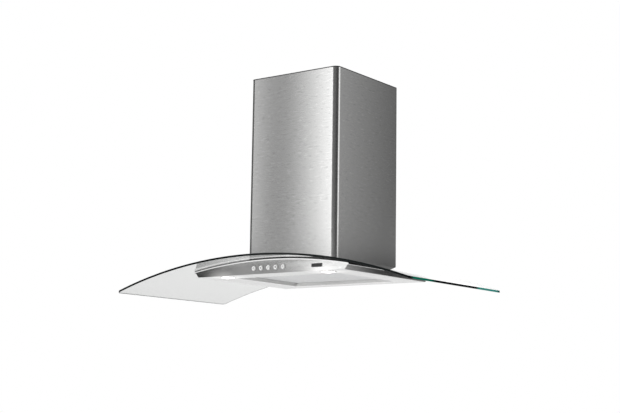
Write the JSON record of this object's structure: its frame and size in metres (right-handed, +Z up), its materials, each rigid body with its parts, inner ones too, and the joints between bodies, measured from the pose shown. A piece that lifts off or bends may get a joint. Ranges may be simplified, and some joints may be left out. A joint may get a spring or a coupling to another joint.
{
  "type": "curved glass range hood",
  "caption": "Wall chimney range hood: arched glass canopy on a shallow steel body with push buttons and lamps, hinged grease filter, centrifugal blower and telescopic flue cover.",
  "frame": {"origin": "on the wall plane, in the middle of the hood, at the level of the steel body's lower rim", "axes": "+X to the hood's right as seen from the room, +Y into the wall, +Z up"},
  "size_m": [0.9, 0.44, 0.5689],
  "materials": {
    "glass": "clear tempered glass with polished dark-green edges",
    "stainless": "horizontally brushed stainless steel",
    "polished_steel": "polished",
    "galvanised_steel": "dull zinc spangle",
    "zinc_fastener": "bright zinc plate",
    "black_rubber": "matt",
    "button_cap": "satin silver lacquer",
    "badge_black": "gloss black, bare",
    "filter_aluminium": "mill finish, expanded mesh",
    "magnet": "dark ferrite",
    "lamp_frost": "frosted, lit",
    "lamp_aluminium": "turned",
    "circuit_board": "green solder mask",
    "white_board": "white solder mask",
    "black_plastic": "moulded, fine grain",
    "grey_plastic": "moulded, fine grain",
    "white_plastic": "moulded",
    "motor_steel": "grey paint",
    "lamination_steel": "dull, edge of stacked sheets",
    "bearing_bronze": "sintered",
    "shaft_steel": "ground"
  },
  "bodies": {
    "hood": {"badge_plate": "badge_black", "blower_box": "galvanised_steel", "body_deck": "stainless", "button_bezels": "polished_steel", "cable_gland": "black_plastic", "canopy_seal": "black_rubber", "clamp_nuts": "zinc_fastener", "clamp_studs": "zinc_fastener", "control_box": "white_plastic", "control_box_cover": "white_plastic", "damper_pin": "shaft_steel", "filter_magnets": "magnet", "flue_bracket_left": "galvanised_steel", "flue_bracket_right": "galvanised_steel", "front_fascia": "stainless", "glass_bushes": "black_rubber", "glass_canopy": "glass", "inlet_ring": "grey_plastic", "lamp_bezel_left": "polished_steel", "lamp_bezel_right": "polished_steel", "lamp_board_left": "white_board", "lamp_board_right": "white_board", "lamp_can_left": "lamp_aluminium", "lamp_can_right": "lamp_aluminium", "lamp_lens_left": "lamp_frost", "lamp_lens_right": "lamp_frost", "lower_flue_cover": "stainless", "motor_bearings": "bearing_bronze", "motor_case": "motor_steel", "motor_stator": "lamination_steel", "outlet_collar": "black_plastic", "push_switches": "black_plastic", "rear_panel": "galvanised_steel", "run_capacitor": "white_plastic", "side_panel_left": "stainless", "side_panel_right": "stainless", "switch_board": "circuit_board", "switch_housing": "black_plastic", "underside_panel": "stainless", "volute": "grey_plastic", "wall_bracket": "galvanised_steel"},
    "upper_flue": {"upper_flue_cover": "stainless", "upper_flue_bracket": "galvanised_steel", "upper_flue_screws": "zinc_fastener"},
    "grease_filter": {"filter_frame": "stainless", "filter_grille_lower": "filter_aluminium", "filter_grille_upper": "filter_aluminium", "filter_mesh": "filter_aluminium", "filter_pull": "stainless", "filter_hinge_pins": "shaft_steel"},
    "fan": {"impeller": "black_plastic", "motor_rotor": "lamination_steel", "motor_shaft": "shaft_steel"},
    "damper_front": {"damper_flap_front": "grey_plastic"},
    "damper_rear": {"damper_flap_rear": "grey_plastic"},
    "button_1": {"button_1": "button_cap"},
    "button_2": {"button_2": "button_cap"},
    "button_3": {"button_3": "button_cap"},
    "button_4": {"button_4": "button_cap"},
    "button_5": {"button_5": "button_cap"}
  },
  "joints": [
    {"name": "flue_slide", "type": "slide", "parent": "hood", "child": "upper_flue", "axis": [0, 0, 1], "range_m": [0, 0.36]},
    {"name": "filter_hinge", "type": "hinge", "parent": "hood", "child": "grease_filter", "pos_m": [0, -0.044, 0.01275], "axis": [1, 0, 0], "range_deg": [0, 80]},
    {"name": "fan_spin", "type": "hinge", "parent": "hood", "child": "fan", "pos_m": [0, -0.105, 0.15], "axis": [1, 0, 0], "continuous": true},
    {"name": "damper_front_hinge", "type": "hinge", "parent": "hood", "child": "damper_front", "pos_m": [0, -0.156, 0.292], "axis": [-1, 0, 0], "range_deg": [0, 75]},
    {"name": "damper_rear_hinge", "type": "hinge", "parent": "hood", "child": "damper_rear", "pos_m": [0, -0.156, 0.292], "axis": [1, 0, 0], "range_deg": [0, 75]},
    {"name": "button_1_press", "type": "slide", "parent": "hood", "child": "button_1", "axis": [0, 1, 0], "range_m": [0, 0.002], "stiffness_N_per_m": 600},
    {"name": "button_2_press", "type": "slide", "parent": "hood", "child": "button_2", "axis": [0, 1, 0], "range_m": [0, 0.002], "stiffness_N_per_m": 600},
    {"name": "button_3_press", "type": "slide", "parent": "hood", "child": "button_3", "axis": [0, 1, 0], "range_m": [0, 0.002], "stiffness_N_per_m": 600},
    {"name": "button_4_press", "type": "slide", "parent": "hood", "child": "button_4", "axis": [0, 1, 0], "range_m": [0, 0.002], "stiffness_N_per_m": 600},
    {"name": "button_5_press", "type": "slide", "parent": "hood", "child": "button_5", "axis": [0, 1, 0], "range_m": [0, 0.002], "stiffness_N_per_m": 600}
  ]
}
